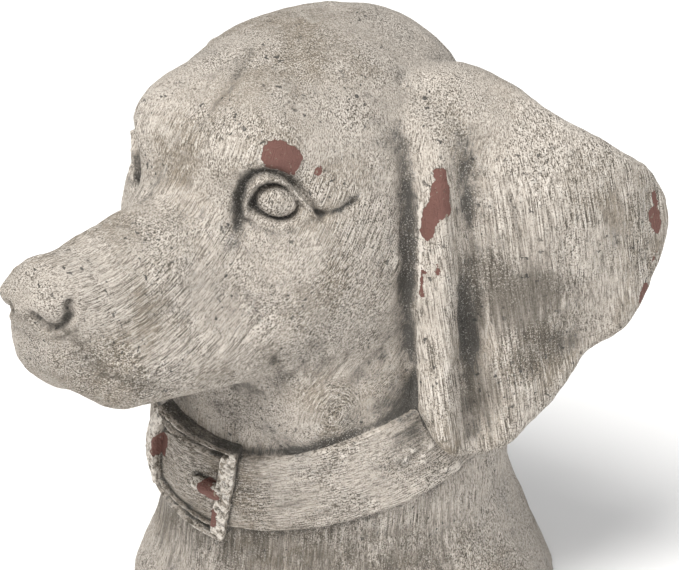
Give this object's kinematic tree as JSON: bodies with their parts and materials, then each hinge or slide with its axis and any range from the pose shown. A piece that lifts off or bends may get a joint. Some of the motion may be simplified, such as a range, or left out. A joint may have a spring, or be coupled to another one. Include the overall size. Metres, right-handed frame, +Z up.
{
  "type": "dog bust statue",
  "caption": "Cast stone bust of a young hound with hanging ears and a moulded buckled collar, cut flat below to stand by its own weight.",
  "frame": {"origin": "centre of the bust between its sides, on its flat underside", "axes": "+Z up, -Y the way the dog looks, +X towards the dog's left"},
  "size_m": [0.18, 0.2093, 0.1966],
  "materials": {
    "cast_stone": "dry matt pale stone wash, rubbed back, grey in the hollows, red brown where it is chipped"
  },
  "bodies": {
    "root": {"dog_bust": "cast_stone"}
  },
  "joints": []
}
